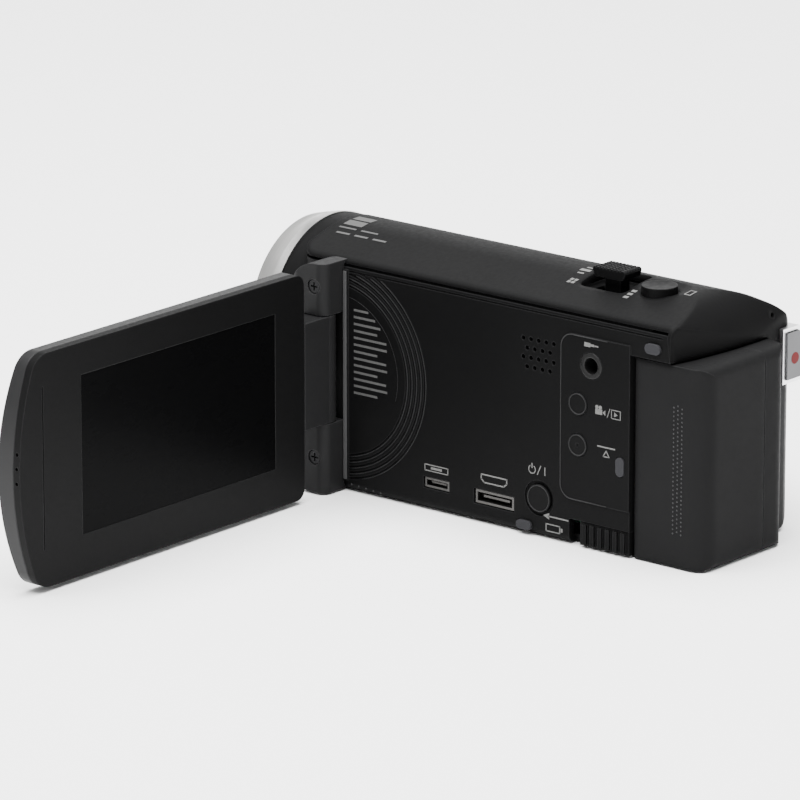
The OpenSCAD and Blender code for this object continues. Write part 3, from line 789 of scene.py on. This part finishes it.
def bay_dimples():
    """Row of small dots along the bottom of the bay."""
    centres = [(-22.0 + 2.0 * i, 1.55 - 0.12 * i) for i in range(5)]
    domes("bay_dimples", centres, 0.22, 0.00012, BAY_X, "camera")


ridge_highlight_beads()
frame_highlight_bead()
button_rim_highlights()
battery_dots()
record_dot()
lip_strip()
bay_dimples()


# ---------------------------------------------------------------------- grip belt

BELT_LOW = 0.0115
BELT_HIGH = 0.0325
BELT_HALF = 0.0007
BELT_CENTRE = Vector((0.035, 0.010, 0))
BELT_RADIUS = 0.0722
FRONT_BAR = Vector((-0.027, -0.026, 0))
REAR_BAR = Vector((-0.027, 0.046, 0))


def ribbon(name, path, low, high, half, rows=10, round_edge=0.0006):
    """Strap of rounded section, half thick to each side, swept along a path in plan between two heights."""
    section = []
    for k in range(rows + 1):
        z = low + (high - low) * k / rows
        near = min(z - low, high - z)
        swell = 1.0 if near >= round_edge else math.sqrt(max(0.0, 1 - (1 - near / round_edge) ** 2))
        section.append((z, half * max(0.15, swell)))
    loop = section + [(z, -w) for z, w in reversed(section)]
    count = len(loop)
    verts, faces = [], []
    for i, point in enumerate(path):
        ahead = path[min(i + 1, len(path) - 1)] - path[max(i - 1, 0)]
        normal = Vector((ahead.y, -ahead.x, 0)).normalized()
        for z, w in loop:
            verts.append(Vector((point.x, point.y, z)) + normal * w)
    for i in range(len(path) - 1):
        for k in range(count):
            j = (k + 1) % count
            faces.append((i * count + k, i * count + j, (i + 1) * count + j, (i + 1) * count + k))
    faces.append(tuple(range(count)))
    faces.append(tuple((len(path) - 1) * count + k for k in reversed(range(count))))
    obj = mesh_object(name, verts, faces, smooth=True)
    face_outwards(obj)
    return obj


def round_bar(bar, first, last, step):
    """Turn of the belt about an anchor bar; angles in degrees from +X towards +Y."""
    wrap = 0.0018
    angles = [math.radians(a) for a in range(first, last, step)]
    return [bar + Vector((math.cos(a), math.sin(a), 0)) * wrap for a in angles]


def on_hand(angle, radius):
    """Place along the back of the hand; the angle is in degrees from -X towards +Y."""
    a = math.radians(angle)
    return BELT_CENTRE + Vector((-math.cos(a), math.sin(a), 0)) * radius


def hand_arc(a0, a1, radius, steps):
    """Points along the back of the hand, between two angles."""
    return [on_hand(a0 + (a1 - a0) * i / steps, radius) for i in range(steps + 1)]


def smooth_path(points, times):
    """Rounds a path by cutting its corners."""
    for _ in range(times):
        cut = [points[0]]
        for a, b in zip(points, points[1:]):
            cut += [a.lerp(b, 0.25), a.lerp(b, 0.75)]
        points = cut + [points[-1]]
    return points


def make_belt():
    """Webbing belt that goes round both anchor bars, with its two ends sewn back on themselves."""
    sewn_radius = BELT_RADIUS - 0.0016
    path = hand_arc(-15, -23.5, sewn_radius, 8)
    path += round_bar(FRONT_BAR, 100, -171, -15)
    path += hand_arc(-25.5, 25.5, BELT_RADIUS, 44)
    path += round_bar(REAR_BAR, 170, -101, -15)
    path += hand_arc(23.5, 15, sewn_radius, 8)
    every_second = smooth_path(path, 3)[::2]
    strap = ribbon("belt_strap", every_second, BELT_LOW, BELT_HIGH, BELT_HALF)
    finish_piece(strap, "camera", BELT)
    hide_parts("grip_belt")


def belt_stitches():
    """Thread: one row along each edge of the belt, and two rows across each sewn end."""
    depth = 0.00016
    spots = []
    for z in (BELT_LOW + 0.0018, BELT_HIGH - 0.0018):
        spots += [(-24.5 + 1.75 * i, z, 0.00075, 0.00020) for i in range(29)]
    for angle in (-22.0, -17.0, 17.0, 22.0):
        spots += [(angle, BELT_LOW + 0.0042 + 0.0021 * i, 0.00020, 0.00070) for i in range(7)]
    bm = bmesh.new()
    for angle, z, along, up in spots:
        made = bmesh.ops.create_uvsphere(bm, u_segments=8, v_segments=6, radius=1.0)["verts"]
        turn = Matrix.Rotation(-math.radians(angle), 3, "Z")
        spot = on_hand(angle, BELT_RADIUS + BELT_HALF)
        bmesh.ops.scale(bm, vec=(depth, along, up), verts=made)
        bmesh.ops.rotate(bm, cent=(0, 0, 0), matrix=turn, verts=made)
        bmesh.ops.translate(bm, vec=(spot.x, spot.y, z), verts=made)
    finish_piece(bm_object("belt_stitches", bm), "camera", THREAD)


make_belt()
belt_stitches()


# ------------------------------------------------------------------ floor and light


def make_floor():
    """White floor just under the object."""
    size = 6.0
    corners = [(-size, -size, 0), (size, -size, 0), (size, size, 0), (-size, size, 0)]
    mesh = bpy.data.meshes.new("floor")
    mesh.from_pydata(corners, [], [(0, 1, 2, 3)])
    floor = link(bpy.data.objects.new("floor", mesh))
    floor.location.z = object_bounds()[0].z - 0.0002
    n = Nodes("floor_white")
    n.surface(
        Base_Color=n.mix(n.noise(3.0), grey(0.93), grey(0.96)),
        Roughness=0.9,
        Specular_IOR_Level=0.1,
    )
    mesh.materials.append(n.mat)


def aim(obj, azimuth, elevation, distance):
    """Sets a camera or light round the object, facing it. Azimuth 0 looks along +Y and 90 along -X."""
    a = math.radians(azimuth)
    e = math.radians(elevation)
    back = Vector((math.sin(a) * math.cos(e), -math.cos(a) * math.cos(e), math.sin(e)))
    obj.location = CAM_TARGET + back * distance
    obj.rotation_mode = "QUATERNION"
    obj.rotation_quaternion = (-back).to_track_quat("-Z", "Y")


def area_light(name, azimuth, elevation, distance, power, width, height):
    """Softbox; distance and size in metres, power in watts."""
    data = bpy.data.lights.new(name, "AREA")
    data.energy = power
    data.shape = "RECTANGLE"
    data.size = width
    data.size_y = height
    aim(link(bpy.data.objects.new(name, data)), azimuth, elevation, distance)


def make_world(strength):
    """Even white light from all round."""
    world = bpy.data.worlds.new("studio")
    world.use_nodes = True
    background = world.node_tree.nodes["Background"]
    background.inputs["Color"].default_value = (1, 1, 1, 1)
    background.inputs["Strength"].default_value = strength
    bpy.context.scene.world = world


def make_camera():
    """Camera at the photo's place."""
    data = bpy.data.cameras.new("camera")
    data.lens = CAM_LENS
    data.sensor_width = CAM_SENSOR
    data.clip_start = 0.05
    data.clip_end = 50
    camera = link(bpy.data.objects.new("camera", data))
    aim(camera, CAM_AZIMUTH, CAM_ELEVATION, CAM_DISTANCE)
    bpy.context.scene.camera = camera


make_floor()
make_world(0.42)
area_light("top_softbox", 100, 84, distance=1.1, power=80, width=1.3, height=1.3)
area_light("left_softbox", 60, 30, distance=1.2, power=3, width=0.5, height=0.9)
area_light("rear_softbox", 175, 35, distance=1.2, power=0.9, width=0.5, height=0.8)
area_light("edge_strip", 112, 5, distance=1.3, power=4.0, width=0.12, height=0.5)
area_light("front_softbox", 300, 25, distance=1.3, power=4, width=0.8, height=0.8)
make_camera()
